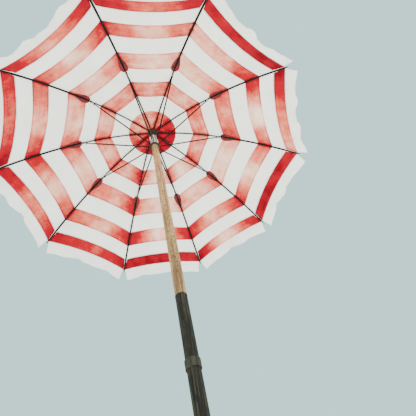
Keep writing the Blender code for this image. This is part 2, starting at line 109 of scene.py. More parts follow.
# How deeply each band is dyed at a panel's first rib, its middle and its second rib, panels 0 to 9
DYE = (
    ((0.42, 0.34, 0.62), (0.40, 0.16, 0.46), (0.34, 0.16, 0.58), (0.70, 0.34, 0.50), (0.48, 0.30, 0.44),
     (0.50, 0.26, 0.40), (0.42, 0.36, 0.50), (0.52, 0.34, 0.46), (0.44, 0.30, 0.36), (0.58, 0.40, 0.46)),
    ((0.34, 0.10, 0.28), (0.52, 0.22, 0.36), (0.30, 0.14, 0.50), (0.74, 0.36, 0.50), (0.44, 0.20, 0.56),
     (0.56, 0.24, 0.40), (0.38, 0.22, 0.54), (0.50, 0.16, 0.34), (0.20, 0.24, 0.56), (0.52, 0.42, 0.62)),
    ((0.56, 0.12, 0.70), (0.72, 0.26, 0.78), (0.80, 0.16, 0.84), (0.78, 0.30, 0.60), (0.66, 0.22, 0.72),
     (0.74, 0.30, 0.58), (0.62, 0.20, 0.70), (0.68, 0.26, 0.54), (0.22, 0.30, 0.76), (0.80, 0.06, 0.62)),
    ((0.78, 0.92, 0.88), (0.90, 0.14, 0.97), (0.84, 0.94, 0.92), (0.92, 0.66, 0.84), (0.80, 0.44, 0.90),
     (0.92, 0.58, 0.76), (0.82, 0.36, 0.88), (0.86, 0.50, 0.80), (0.80, 0.86, 0.92), (0.96, 0.44, 0.30)),
)

# Patches along a rib: start and length from the strut's pivot, half width, lift above the rib's middle
GUARD = (0.004, 0.100, 0.0245, 0.0039)
GUARD_STREAK = (0.010, 0.110, 0.0072, 0.0033)
TIE_STREAK = (0.222, 0.092, 0.0066, 0.0033)
PATCH_THICKNESS = 0.0010
STREAK_THICKNESS = 0.0005

# Pole, tube and hubs
POLE_RADIUS = 0.0215
TENON_RADIUS = 0.0150
SPIGOT_RADIUS = 0.0192
TUBE_RADIUS = 0.0215
TUBE_BORE = 0.0197
NECK_RADIUS = 0.0243
NECK_BORE = 0.0218
NECK_TOP = -0.028
SLEEVE_BORE = 0.0222
HUB_OUTER_RADIUS = 0.0325
FLANGE_RADIUS = 0.0318
SLOT_HALF_WIDTH = 0.0016
SLOT_FLOOR_RADIUS = 0.0245


# Mesh helpers

def as_object(name, form, material, smooth_angle=35):
    """Turn a bmesh into an object with one material, sharp where its faces meet at more than an angle."""
    bmesh.ops.remove_doubles(form, verts=form.verts, dist=1e-6)
    mesh = bpy.data.meshes.new(name)
    form.to_mesh(mesh)
    form.free()
    return placed(name, mesh, material, smooth_angle)


def placed(name, mesh, material, smooth_angle=35):
    mesh.materials.clear()
    mesh.materials.append(material)
    mesh.shade_smooth()
    mesh.set_sharp_from_angle(angle=math.radians(smooth_angle))
    made = bpy.data.objects.new(name, mesh)
    bpy.context.scene.collection.objects.link(made)
    return made


def applied(shape):
    """The evaluated mesh of an object with modifiers; the object is removed."""
    bpy.context.view_layer.update()
    graph = bpy.context.evaluated_depsgraph_get()
    mesh = bpy.data.meshes.new_from_object(shape.evaluated_get(graph))
    bpy.data.objects.remove(shape)
    return mesh


def thickened(name, form, thickness, material, thin_share=None):
    """Turn an open surface into a sheet. With a thin share, only the group "doubled" is full thickness."""
    mesh = bpy.data.meshes.new(name)
    form.to_mesh(mesh)
    form.free()
    sheet = bpy.data.objects.new(name, mesh)
    bpy.context.scene.collection.objects.link(sheet)
    solid = sheet.modifiers.new("Thickness", "SOLIDIFY")
    solid.thickness = thickness
    solid.offset = 1.0
    if thin_share is not None:
        sheet.vertex_groups.new(name="doubled")
        solid.vertex_group = "doubled"
        solid.thickness_vertex_group = thin_share
    return placed(name, applied(sheet), material, 50)


def cut_away(shape, cutter, material):
    """A shape with a cutter's volume taken out; the result takes the place of both objects."""
    cut = shape.modifiers.new("Cut", "BOOLEAN")
    cut.operation = "DIFFERENCE"
    cut.solver = "EXACT"
    cut.object = cutter
    name = shape.name
    mesh = applied(shape)
    bpy.data.objects.remove(cutter)
    return placed(name, mesh, material)


def softened(points, closed, radius=0.0008, steps=3):
    """Round each corner of a profile with a short curve."""
    soft = []
    count = len(points)
    for i, point in enumerate(points):
        here = Vector(point)
        if not closed and i in (0, count - 1):
            soft.append(here)
            continue
        before, after = Vector(points[i - 1]), Vector(points[(i + 1) % count])
        reach = min(radius, (before - here).length / 2.2, (after - here).length / 2.2)
        start = here + (before - here).normalized() * reach
        end = here + (after - here).normalized() * reach
        for k in range(steps + 1):
            t = k / steps
            soft.append(start * (1 - t) ** 2 + here * 2 * t * (1 - t) + end * t**2)
    return soft


def lathe(form, profile, closed=True, segments=64, radius=0.0008, place=Matrix.Identity(4)):
    """Add a turned shape about Z to a bmesh. The profile is (radius, height) points."""
    rings = []
    for point in softened(profile, closed, radius):
        ring = []
        for k in range(segments if point.x > 0 else 1):
            turn = 2 * math.pi * k / segments
            corner = Vector((point.x * math.cos(turn), point.x * math.sin(turn), point.y))
            ring.append(form.verts.new(place @ corner))
        rings.append(ring)
    faces = []
    for inner, outer in list(zip(rings, rings[1:])) + ([(rings[-1], rings[0])] if closed else []):
        for k in range(segments):
            corners = [inner[k % len(inner)], inner[(k + 1) % len(inner)],
                       outer[(k + 1) % len(outer)], outer[k % len(outer)]]
            faces.append(form.faces.new(dict.fromkeys(corners)))
    bmesh.ops.recalc_face_normals(form, faces=faces)


def turned(name, profile, material, z=0.0, closed=True, segments=64, radius=0.0008):
    form = bmesh.new()
    lathe(form, profile, closed, segments, radius, Matrix.Translation((0, 0, z)))
    return as_object(name, form, material)


def sweep(form, stations, sides=12, side=0.0, place=Matrix.Identity(4)):
    """Add a closed rod in the XZ plane. A station is (x, z, half width along Y, half height)."""
    rings = []
    for i, (x, z, wide, high) in enumerate(stations):
        x0, z0 = stations[max(i - 1, 0)][:2]
        x1, z1 = stations[min(i + 1, len(stations) - 1)][:2]
        along = Vector((x1 - x0, 0.0, z1 - z0)).normalized()
        up = Vector((-along.z, 0.0, along.x))
        ring = []
        for k in range(sides):
            turn = 2 * math.pi * k / sides
            point = Vector((x, side, z)) + up * high * math.sin(turn)
            point.y += wide * math.cos(turn)
            ring.append(form.verts.new(place @ point))
        rings.append(ring)
    faces = [form.faces.new(rings[0]), form.faces.new(rings[-1][::-1])]
    for a, b in zip(rings, rings[1:]):
        for k in range(sides):
            faces.append(form.faces.new((a[k], b[k], b[(k + 1) % sides], a[(k + 1) % sides])))
    bmesh.ops.recalc_face_normals(form, faces=faces)


def block(form, low, high, place=Matrix.Identity(4)):
    centre = Matrix.Translation([(a + b) / 2 for a, b in zip(low, high)])
    size = Matrix.Diagonal([b - a for a, b in zip(low, high)] + [1.0])
    bmesh.ops.create_cube(form, size=1.0, matrix=place @ centre @ size)


def smooth_step(t):
    t = min(max(t, 0.0), 1.0)
    return t * t * (3 - 2 * t)


# Materials

def srgb(red, green, blue):
    """A colour written in 0 to 255 display values, as linear values with alpha."""
    shares = [value / 255 for value in (red, green, blue)]
    return (*[s / 12.92 if s <= 0.04045 else ((s + 0.055) / 1.055) ** 2.4 for s in shares], 1.0)


class Shader:
    """Short calls for building one material's nodes. Each returns the new node's output socket."""

    def __init__(self, name, roughness=0.5, metallic=0.0):
        self.material = bpy.data.materials.new(name)
        self.material.use_nodes = True
        self.nodes = self.material.node_tree.nodes
        self.links = self.material.node_tree.links
        self.surface = self.nodes["Principled BSDF"]
        self.set("Roughness", roughness)
        self.set("Metallic", metallic)

    def put(self, socket, value):
        if isinstance(value, bpy.types.NodeSocket):
            self.links.new(value, socket)
        else:
            socket.default_value = value

    def set(self, name, value):
        self.put(self.surface.inputs[name], value)

    def node(self, kind, inputs=(), output=0, **settings):
        made = self.nodes.new("ShaderNode" + kind)
        for name, value in settings.items():
            setattr(made, name, value)
        for key, value in dict(inputs).items():
            self.put(made.inputs[key], value)
        return made.outputs[output]

    def math(self, operation, a, b=0.0, clamp=False):
        return self.node("Math", {0: a, 1: b}, operation=operation, use_clamp=clamp)

    def total(self, *terms):
        result = terms[0]
        for term in terms[1:]:
            result = self.math("ADD", result, term)
        return result

    def scaled(self, value, low, high, to_low=0.0, to_high=1.0, smooth=False):
        kind = "SMOOTHSTEP" if smooth else "LINEAR"
        inputs = {"Value": value, "From Min": low, "From Max": high, "To Min": to_low, "To Max": to_high}
        return self.node("MapRange", inputs, interpolation_type=kind)

    def attribute(self, name, output="Vector"):
        return self.node("Attribute", output=output, attribute_name=name)

    def coordinates(self, scale=(1.0, 1.0, 1.0), vector=None):
        source = vector or self.node("TexCoord", output="Object")
        return self.node("Mapping", {"Vector": source, "Scale": scale})

    def noise(self, vector, scale, detail=3.0, roughness=0.55):
        inputs = {"Vector": vector, "Scale": scale, "Detail": detail, "Roughness": roughness}
        return self.node("TexNoise", inputs)

    def swing(self, vector, scale, amount, detail=3.0, roughness=0.55):
        """Noise about zero, about as large as an amount."""
        centred = self.math("SUBTRACT", self.noise(vector, scale, detail, roughness), 0.5)
        return self.math("MULTIPLY", centred, 2.5 * amount)

    def ramp(self, factor, stops):
        """A colour ramp through (position, colour) stops."""
        made = self.nodes.new("ShaderNodeValToRGB")
        self.put(made.inputs[0], factor)
        elements = made.color_ramp.elements
        elements.remove(elements[1])
        for i, (position, colour) in enumerate(stops):
            element = elements[0] if i == 0 else elements.new(position)
            element.position = position
            element.color = colour
        return made.outputs["Color"]

    def mix(self, factor, a, b, blend="MIX"):
        made = self.nodes.new("ShaderNodeMix")
        made.data_type = "RGBA"
        made.blend_type = blend
        self.put(made.inputs[0], factor)
        self.put(made.inputs[6], a)
        self.put(made.inputs[7], b)
        return made.outputs[2]

    def bump(self, height, strength, distance):
        inputs = {"Height": height, "Strength": strength, "Distance": distance}
        self.set("Normal", self.node("Bump", inputs))

    def see_through(self, colour, share):
        """Let some light through to the other side, as thin cloth does."""
        back = self.node("BsdfTranslucent", {"Color": colour})
        mixed = self.node("MixShader", {0: share, 1: self.surface.outputs[0], 2: back})
        self.links.new(mixed, self.nodes["Material Output"].inputs["Surface"])


def grey(value):
    return (value, value, value, 1.0)


WHITE_CLOTH = srgb(250, 248, 242)
WASH = ((0.0, srgb(250, 228, 212)), (0.22, srgb(242, 188, 164)), (0.45, srgb(226, 112, 88)),
        (0.70, srgb(186, 18, 34)), (0.90, srgb(162, 0, 29)), (1.0, srgb(130, 2, 20)))
WEAVE_SCALE = 200.0


def weave(shader, vector):
    """Crossed threads, from 0 to 1."""
    warp = shader.node("TexWave", {"Vector": vector, "Scale": WEAVE_SCALE}, output=1,
                       bands_direction="X")
    weft = shader.node("TexWave", {"Vector": vector, "Scale": WEAVE_SCALE}, output=1,
                       bands_direction="Y")
    return shader.math("MULTIPLY", warp, weft)


def canopy_cloth():
    """White canvas with red bands, dyed unevenly: deeper along each band's edges, and deeper at the ribs,
    partly from the dye table and partly from painted shade beside each rib.
    """
    shader = Shader("banded_canvas", roughness=0.88)
    plan = shader.attribute("plan")
    local = shader.attribute("local")
    dye = shader.attribute("dye", "Fac")
    split = shader.nodes.new("ShaderNodeSeparateXYZ")
    shader.put(split.inputs[0], local)
    lateral, radius = split.outputs["X"], split.outputs["Y"]
    from_rib = shader.math("ABSOLUTE", lateral)

    wander = shader.total(shader.swing(plan, 22.0, 0.0022), shader.swing(plan, 90.0, 0.0009))
    share = shader.math("ADD", radius, wander)
    mask_stops, edge_stops = [(0.0, grey(0))], [(0.0, grey(0))]
    for start, end in BANDS[1:]:
        mask_stops += [(start - BAND_BLUR, grey(0)), (start + BAND_BLUR, grey(1)),
                       (end - BAND_BLUR, grey(1)), (end + BAND_BLUR, grey(0))]
        edge_stops += [(start, grey(1)), (start + BAND_EDGE, grey(0)),
                       (end - BAND_EDGE, grey(0)), (end, grey(1))]
    mask = shader.ramp(share, mask_stops)
    edge = shader.ramp(share, edge_stops)

    # The disc at the centre is round, where the other bands run straight from rib to rib
    reach = shader.node("VectorMath", {0: plan}, output="Value", operation="LENGTH")
    disc_share = shader.math("ADD", shader.math("DIVIDE", reach, CANOPY_RADIUS), wander)
    disc_end = BANDS[0][1]
    disc = shader.scaled(disc_share, disc_end - BAND_BLUR, disc_end + BAND_BLUR, 1.0, 0.0)
    disc_edge = shader.math("MULTIPLY", disc, shader.scaled(disc_share, disc_end - 0.012, disc_end))
    mask = shader.math("MAXIMUM", mask, disc)
    edge = shader.math("MAXIMUM", edge, disc_edge)
    mottle = shader.math("MULTIPLY", disc, shader.swing(plan, 30.0, 0.22, 5.0, 0.7))

    # The last band stops short of each rib's tip
    near_tip = shader.scaled(share, 0.900, 0.905)
    taper = shader.scaled(share, 0.930, 0.990, 0.0, 0.007)
    beside = shader.total(from_rib, taper, shader.swing(plan, 60.0, 0.003))
    pocket = shader.scaled(beside, 0.0095, 0.0110, 1.0, 0.0)
    bare = shader.math("MULTIPLY", near_tip, pocket)
    mask = shader.math("MULTIPLY", mask, shader.math("SUBTRACT", 1.0, bare))

    # Painted shade: the red is deepened within 22 mm of each rib, as if the rib shaded the cloth beside it.
    painted_rib_shade = shader.scaled(from_rib, 0.0, 0.022, 0.30, 0.0, smooth=True)
    stroke = shader.coordinates((5.0, 48.0, 1.0), local)
    depth = shader.total(
        dye,
        painted_rib_shade,
        shader.math("MULTIPLY", edge, 0.26),
        shader.swing(plan, 13.0, 0.26, 4.0, 0.6),
        mottle,
        shader.swing(stroke, 1.0, 0.10, 2.0),
        shader.swing(plan, 120.0, 0.07, 2.0),
    )
    red = shader.ramp(shader.math("ADD", depth, 0.0, clamp=True), WASH)
    soil = shader.noise(plan, 7.0, 4.0)
    white = shader.mix(shader.scaled(soil, 0.40, 0.75, 0.0, 0.5), WHITE_CLOTH, srgb(232, 230, 222))
    colour = shader.mix(mask, white, red)
    threads = weave(shader, local)
    colour = shader.mix(shader.scaled(threads, 0.0, 1.0, 0.07, 0.0), colour, grey(0.25), "MULTIPLY")
    shader.set("Base Color", colour)
    shader.set("Roughness", shader.scaled(soil, 0.3, 0.7, 0.80, 0.95))
    shader.set("Specular IOR Level", 0.15)
    shader.bump(shader.total(threads, shader.noise(plan, 500.0)), 0.18, 0.0005)
    shader.see_through(colour, 0.30)
    return shader.material


def plain_cloth(name, colour, deep, through=0.15):
    """One colour of canvas, faded and darker in patches."""
    shader = Shader(name, roughness=0.88)
    place = shader.coordinates()
    patches = shader.noise(place, 45.0, 4.0, 0.65)
    shade = shader.mix(shader.scaled(patches, 0.35, 0.65), colour, deep)
    threads = weave(shader, place)
    shade = shader.mix(shader.scaled(threads, 0.0, 1.0, 0.12, 0.0), shade, grey(0.2), "MULTIPLY")
    shader.set("Base Color", shade)
    shader.set("Roughness", shader.scaled(patches, 0.3, 0.7, 0.78, 0.95))
    shader.bump(shader.total(threads, patches), 0.25, 0.0005)
    if through:
        shader.see_through(shade, through)
    return shader.material


def wood():
    """Pale tan wood with long grain, darker lines and small specks."""
    shader = Shader("pale_wood", roughness=0.6)
    long_grain = shader.noise(shader.coordinates((1.0, 1.0, 0.030)), 130.0, 4.0, 0.6)
    broad = shader.noise(shader.coordinates((1.0, 1.0, 0.14)), 34.0, 3.0, 0.5)
    specks = shader.noise(shader.coordinates((1.0, 1.0, 0.40)), 210.0, 2.0, 0.6)
    base = shader.mix(shader.scaled(broad, 0.38, 0.62), srgb(196, 156, 104), srgb(152, 114, 66))
    lined = shader.mix(shader.scaled(long_grain, 0.46, 0.60, 0.0, 0.9), base, srgb(104, 70, 38))
    colour = shader.mix(shader.scaled(specks, 0.54, 0.62, 0.0, 0.9), lined, srgb(58, 36, 18))
    shader.set("Base Color", colour)
    shader.set("Roughness", shader.scaled(long_grain, 0.3, 0.7, 0.5, 0.72))
    shader.bump(shader.total(long_grain, shader.math("MULTIPLY", specks, 0.5)), 0.25, 0.0006)
    return shader.material


def dark_paint(name, base, light, roughness, streak=1.0):
    """Charcoal paint with lengthwise brush streaks, worn paler in places."""
    shader = Shader(name, roughness)
    shader.set("Specular IOR Level", 0.2)
    lines = shader.noise(shader.coordinates((1.0, 1.0, 0.03)), 260.0, 4.0, 0.7)
    wear = shader.noise(shader.coordinates((1.0, 1.0, 0.5)), 60.0, 4.0, 0.6)
    streaked = shader.scaled(lines, 0.40, 0.72, 0.0, streak)
    tone = shader.math("MULTIPLY", streaked, shader.scaled(wear, 0.3, 0.6))
    shader.set("Base Color", shader.mix(tone, base, light))
    shader.set("Roughness", shader.scaled(wear, 0.3, 0.7, roughness - 0.1, roughness + 0.12))
    shader.bump(shader.total(lines, wear), 0.15, 0.0004)
    return shader.material


def silver():
    """Brushed silver with fine scratches round it and dark lengthwise streaks."""
    shader = Shader("brushed_silver", roughness=0.45, metallic=0.15)
    scratches = shader.noise(shader.coordinates((0.05, 0.05, 1.0)), 900.0, 3.0, 0.6)
    streaks = shader.noise(shader.coordinates((1.0, 1.0, 0.08)), 110.0, 1.0, 0.5)
    pale = shader.mix(scratches, srgb(236, 238, 238), srgb(206, 208, 208))
    streaked = shader.scaled(streaks, 0.51, 0.55, 0.0, 0.95)
    shader.set("Base Color", shader.mix(streaked, pale, srgb(30, 30, 30)))
    shader.set("Roughness", shader.scaled(scratches, 0.3, 0.7, 0.28, 0.50))
    shader.bump(scratches, 0.12, 0.0002)
    return shader.material


def plain_metal(name, colour, roughness):
    shader = Shader(name, roughness, 1.0)
    marks = shader.noise(shader.coordinates(), 180.0, 4.0, 0.65)
    dulled = shader.scaled(marks, 0.45, 0.70, 0.0, 0.5)
    shader.set("Base Color", shader.mix(dulled, colour, srgb(96, 92, 86)))
    shader.set("Roughness", shader.scaled(marks, 0.3, 0.7, roughness - 0.08, roughness + 0.15))
    shader.bump(marks, 0.10, 0.0002)
    return shader.material


def moulded(name, colour, pale, roughness, grain):
    """Moulded plastic or rubber with a fine grain and scuffs."""
    shader = Shader(name, roughness)
    fine = shader.noise(shader.coordinates(), grain, 2.0, 0.5)
    scuffs = shader.noise(shader.coordinates((1.0, 1.0, 0.4)), 38.0, 5.0, 0.7)
    shader.set("Base Color", shader.mix(shader.scaled(scuffs, 0.52, 0.72, 0.0, 0.6), colour, pale))
    shader.set("Roughness", shader.scaled(scuffs, 0.35, 0.7, roughness - 0.08, roughness + 0.15))
    shader.bump(fine, 0.20, 0.0003)
    return shader.material


BANDED = canopy_cloth()
GUARD_RED = plain_cloth("guard_canvas", srgb(140, 6, 12), srgb(66, 2, 6), through=0.0)
CAP_RED = plain_cloth("cap_canvas", srgb(206, 60, 52), srgb(170, 16, 24))
STREAK_BLACK = plain_cloth("black_leather", srgb(36, 32, 30), srgb(18, 16, 16), through=0.0)
THREAD = plain_cloth("white_thread", srgb(226, 222, 214), srgb(206, 200, 190), through=0.0)
RIB_PAINT = dark_paint("rib_paint", srgb(3, 3, 3), srgb(14, 14, 13), 0.80)
HUB_PAINT = dark_paint("hub_paint", srgb(34, 32, 25), srgb(84, 80, 64), 0.75)
TUBE_PAINT = dark_paint("tube_paint", srgb(20, 18, 14), srgb(84, 78, 64), 0.85, 0.8)
WOOD = wood()
SILVER = silver()
STEEL = plain_metal("plain_steel", srgb(170, 170, 168), 0.34)
SPIKE_PLASTIC = moulded("spike_plastic", srgb(54, 54, 51), srgb(96, 94, 88), 0.58, 700.0)
KNOB_RUBBER = moulded("knob_rubber", srgb(34, 34, 34), srgb(66, 66, 64), 0.72, 1100.0)


# Canopy. Rib heights are measured from the rib hinges, radii from the pole's axis.

def rib_height(radius):
    return -CANOPY_DROP * (radius**2 - HUB_RADIUS**2) / (CANOPY_RADIUS**2 - HUB_RADIUS**2)


def rib_slope(radius):
    return math.atan(2 * CANOPY_DROP * radius / (CANOPY_RADIUS**2 - HUB_RADIUS**2))


def cloth_point(radius, share, lift):
    """A point of the cloth on rib 01's +Y side, from the rib (share 0) to mid-panel (share 1)."""
    slope = rib_slope(radius)
    x = radius * (1 - share * math.sin(HALF_SECTOR) ** 2)
    y = radius * share * math.sin(HALF_SECTOR) * math.cos(HALF_SECTOR)
    bow = CLOTH_BOW * (radius / CANOPY_RADIUS) ** 2 * share * (2 - share)
    x -= bow * math.cos(HALF_SECTOR)
    y -= bow * math.sin(HALF_SECTOR)
    outward = lift * math.sin(slope)
    x += outward * math.cos(share * HALF_SECTOR)
    y += outward * math.sin(share * HALF_SECTOR)
    return Vector((x, y, rib_height(radius) + lift * math.cos(slope)))


def valance_point(drop, share, turn, panel):
    """A point of the hanging edge, which ripples along the panel and flares at the notches."""
    edge = cloth_point(CLOTH_EDGE_RADIUS, share, CLOTH_LIFT)
    grow = drop / VALANCE_LENGTH
    out = drop * math.cos(VALANCE_HANG) + NOTCH_FLARE * grow**1.5 * (1 - share) ** 3
    phase = 2.4 * panel
    ripple = math.sin(2 * math.pi * 2.6 * turn + phase)
    ripple += 0.5 * math.sin(2 * math.pi * 4.3 * turn + 1.7 * phase)
    ripple += 0.35 * math.sin(2 * math.pi * 7.1 * turn + 2.9 * phase)
    out += FLUTTER * grow**1.5 * ripple * share * (2 - share)
    notch = NOTCH_HALF_WIDTH * math.sqrt(grow) * (1 - share)
    edge.x += out * math.cos(HALF_SECTOR) - notch * math.sin(HALF_SECTOR)
    edge.y += out * math.sin(HALF_SECTOR) + notch * math.cos(HALF_SECTOR)
    edge.z -= drop * math.sin(VALANCE_HANG)
    return edge


def dye_depth(radius_share, panel, turn):
    """How deeply the cloth is dyed, blended across a panel between its two ribs and its middle."""
    if radius_share < (BANDS[0][1] + BANDS[1][0]) / 2:
        around = (panel + turn) * SECTOR
        return 0.53 + 0.30 * math.cos(around - math.radians(55))
    gaps = [(BANDS[k][1] + BANDS[k + 1][0]) / 2 for k in range(1, len(BANDS) - 1)]
    band = sum(radius_share > gap for gap in gaps)
    first, middle, second = DYE[band][panel % RIB_COUNT]
    blend = smooth_step(abs(2 * turn - 1))
    return middle + ((first if turn < 0.5 else second) - middle) * blend


def about_rib(index):
    """The placement of a rib's own space, whose origin is on the pole's axis at the hinges' height."""
    return Matrix.Translation((0, 0, CROWN_Z)) @ Matrix.Rotation(index * SECTOR, 4, "Z")


def panel_beside(index, side):
    """The panel on one side of a rib: +1 is anticlockwise."""
    return index if side > 0 else index - 1


def panel_turn(share, side):
    """The turn of a point that is a share of the way from its rib to mid-panel."""
    return share / 2 if side > 0 else 1 - share / 2


def gore_half(form, layers, index, side):
    """One side of a rib's cloth, from the rib to mid-panel, with what its material reads."""
    plan, local, dye, thick = layers
    place = about_rib(index)
    panel = panel_beside(index, side)
    rows = []
    for row in range(DOME_ROWS + VALANCE_ROWS + 1):
        drop = VALANCE_LENGTH * max(row - DOME_ROWS, 0) / VALANCE_ROWS
        along = min(row / DOME_ROWS, 1.0)
        radius = CLOTH_INNER_RADIUS + (CLOTH_EDGE_RADIUS - CLOTH_INNER_RADIUS) * along
        reach = radius + drop
        line = []
        for column in range(SIDE_COLUMNS + 1):
            share = column / SIDE_COLUMNS
            turn = panel_turn(share, side)
            if drop > 0:
                point = valance_point(drop, share, turn, panel)
            else:
                point = cloth_point(radius, share, CLOTH_LIFT)
                around = Matrix.Rotation(side * index * SECTOR, 4, "Z") @ point
                around.y *= side
                loose = share * (2 - share) * (radius / CANOPY_RADIUS) * (1 - along**6)
                point.z += UNDULATION * loose * noise.noise(around * 9.0)
            vertex = form.verts.new((point.x, side * point.y, point.z))
            world = place @ vertex.co
            vertex[plan] = (world.x, world.y, drop)
            vertex[local] = (side * reach * share * math.sin(HALF_SECTOR), reach / CANOPY_RADIUS, 0.0)
            vertex[dye] = dye_depth(reach / CANOPY_RADIUS, panel, turn)
            lateral = radius * share * math.sin(HALF_SECTOR)
            hem = drop > VALANCE_LENGTH - HEM_WIDTH or row == DOME_ROWS or (drop > 0 and column == 0)
            vertex[thick][0] = 1.0 if hem or lateral < SEAM_HALF_WIDTH else 0.0
            line.append(vertex)
        rows.append(line)
    for lower, upper in zip(rows, rows[1:]):
        for k in range(SIDE_COLUMNS):
            corners = [lower[k], upper[k], upper[k + 1], lower[k + 1]]
            form.faces.new(corners if side > 0 else corners[::-1])


def gore(index):
    """The cloth that one rib carries, to the middle of the panel on each side, and its flat area."""
    form = bmesh.new()
    layers = (form.verts.layers.float_vector.new("plan"), form.verts.layers.float_vector.new("local"),
              form.verts.layers.float.new("dye"), form.verts.layers.deform.verify())
    for side in (1, -1):
        gore_half(form, layers, index, side)
    bmesh.ops.remove_doubles(form, verts=form.verts, dist=1e-6)
    area = sum(face.calc_area() for face in form.faces)
    bmesh.ops.transform(form, matrix=about_rib(index), verts=form.verts)
    share = CLOTH_THICKNESS / HEM_THICKNESS
    return thickened("gore_" + NUMBERS[index], form, HEM_THICKNESS, BANDED, share), area


def patch(name, index, shape, thickness, material, round_share):
    """A pointed patch along a rib, on the side towards the cloth. Lower round shares make it fuller."""
    start, length, half_width, lift = shape
    form = bmesh.new()
    columns, rows = 8, 28
    grid = []
    for row in range(rows + 1):
        along = row / rows
        radius = PIVOT_RADIUS + start + length * along
        width = half_width * math.sin(math.pi * along**0.75) ** round_share + 0.0006
        side_length = radius * math.sin(HALF_SECTOR) * math.cos(HALF_SECTOR)
        line = []
        for column in range(columns + 1):
            across = 2 * column / columns - 1
            point = cloth_point(radius, abs(across) * width / side_length, lift)
            line.append(form.verts.new((point.x, math.copysign(point.y, across), point.z)))
        grid.append(line)
    for lower, upper in zip(grid, grid[1:]):
        for k in range(columns):
            form.faces.new((lower[k], upper[k], upper[k + 1], lower[k + 1]))
    bmesh.ops.transform(form, matrix=about_rib(index), verts=form.verts)
    return thickened(name, form, thickness, material)


def stitch(form, start, end, out):
    """One stitch: a small spindle between two points, standing out from the cloth."""
    middle = (start + end) / 2 + out * STITCH_HALF_WIDTH
    along = (end - start).normalized()
    side = along.cross(out).normalized() * STITCH_HALF_WIDTH
    ends = [form.verts.new(start), form.verts.new(end)]
    ring = [form.verts.new(middle + step) for step in (side, out * 0.0003, -side, out * -0.0005)]
    for k in range(4):
        form.faces.new((ends[0], ring[k], ring[(k + 1) % 4]))
        form.faces.new((ends[1], ring[(k + 1) % 4], ring[k]))


def stitches(index):
    """Stitch lines below the cloth: one on each side of the rib, and one along the valance's hem."""
    form = bmesh.new()
    place = about_rib(index)
    beside = SEAM_HALF_WIDTH - 0.0008
    first = 0.075
    seam_count = int((CLOTH_EDGE_RADIUS - 0.080) / STITCH_PITCH)
    hem_drop = VALANCE_LENGTH - HEM_WIDTH + 0.001
    half_panel = CANOPY_RADIUS * math.sin(HALF_SECTOR)
    inward = place.to_3x3() @ Vector((-math.sin(VALANCE_HANG), 0, -math.cos(VALANCE_HANG)))
    for side in (1, -1):
        for k in range(seam_count):
            ends = []
            for radius in (first + k * STITCH_PITCH, first + k * STITCH_PITCH + STITCH_LENGTH):
                share = beside / (radius * math.sin(HALF_SECTOR) * math.cos(HALF_SECTOR))
                point = cloth_point(radius, share, CLOTH_LIFT - 0.0001)
                ends.append(place @ Vector((point.x, side * point.y, point.z)))
            stitch(form, ends[0], ends[1], Vector((0, 0, -1)))
        for k in range(int(half_panel / STITCH_PITCH)):
            ends = []
            for reach in (k * STITCH_PITCH, k * STITCH_PITCH + STITCH_LENGTH):
                share = min(reach / half_panel, 1.0)
                point = valance_point(hem_drop, share, panel_turn(share, side), panel_beside(index, side))
                ends.append(place @ Vector((point.x, side * point.y, point.z)))
            stitch(form, ends[0], ends[1], inward)
    return as_object("stitches_" + NUMBERS[index], form, THREAD)


def rib(index):
    """A curved rod, wider than it is thick, with an eye on the hinge wire, a rivet and a ball at its tip."""
    form = bmesh.new()
    place = about_rib(index)
    stations = []
    for k in range(5):
        turn = math.pi * (1 - k / 4) / 2
        stations.append((HUB_RADIUS - EYE_RADIUS * math.sin(turn), 0.0, EYE_HALF,
                         max(EYE_RADIUS * math.cos(turn), 0.0004)))
    for k in range(1, 7):
        t = k / 6
        radius = HUB_RADIUS + 0.020 * t
        flat = smooth_step((t - 0.4) / 0.6)
        stations.append((radius, rib_height(radius), EYE_HALF + (ROD_RADIUS - EYE_HALF) * flat,
                         EYE_RADIUS + (ROD_RADIUS - EYE_RADIUS) * t))
    steps = 60
    start, end = HUB_RADIUS + 0.022, CANOPY_RADIUS - 0.004
    for k in range(steps + 1):
        radius = start + (end - start) * k / steps
        widest = INNER_ROD_HALF_WIDTH if radius < PIVOT_RADIUS else OUTER_ROD_HALF_WIDTH
        clear = smooth_step((abs(radius - PIVOT_RADIUS) - 0.030) / 0.015)
        share = clear * smooth_step((radius - start) / 0.03)
        taper = smooth_step((end - radius) / 0.05)
        wide = ROD_RADIUS + (widest - ROD_RADIUS) * share * (0.4 + 0.6 * taper)
        stations.append((radius, rib_height(radius), wide, ROD_RADIUS))
    tip = 0.0038
    for k in range(7):
        turn = math.pi * (0.22 + 0.78 * k / 6)
        radius = CANOPY_RADIUS - tip * math.cos(turn)
        width = max(tip * math.sin(turn), 0.0003)
        stations.append((radius, rib_height(CANOPY_RADIUS) + (CANOPY_RADIUS - radius) * 0.95, width, width))
    sweep(form, stations, 12, place=place)
    across = (place @ Matrix.Translation((PIVOT_RADIUS, 0, -PIVOT_DROP))
              @ Matrix.Rotation(math.pi / 2, 4, "X"))
    rivet = [(0.0, 0.0068), (0.0016, 0.0066), (0.0025, 0.0059), (0.0013, 0.0058),
             (0.0013, -0.0058), (0.0025, -0.0059), (0.0016, -0.0066), (0.0, -0.0068)]
    lathe(form, rivet, closed=False, segments=16, radius=0.0003, place=across)
    return as_object("rib_rod_" + NUMBERS[index], form, RIB_PAINT)


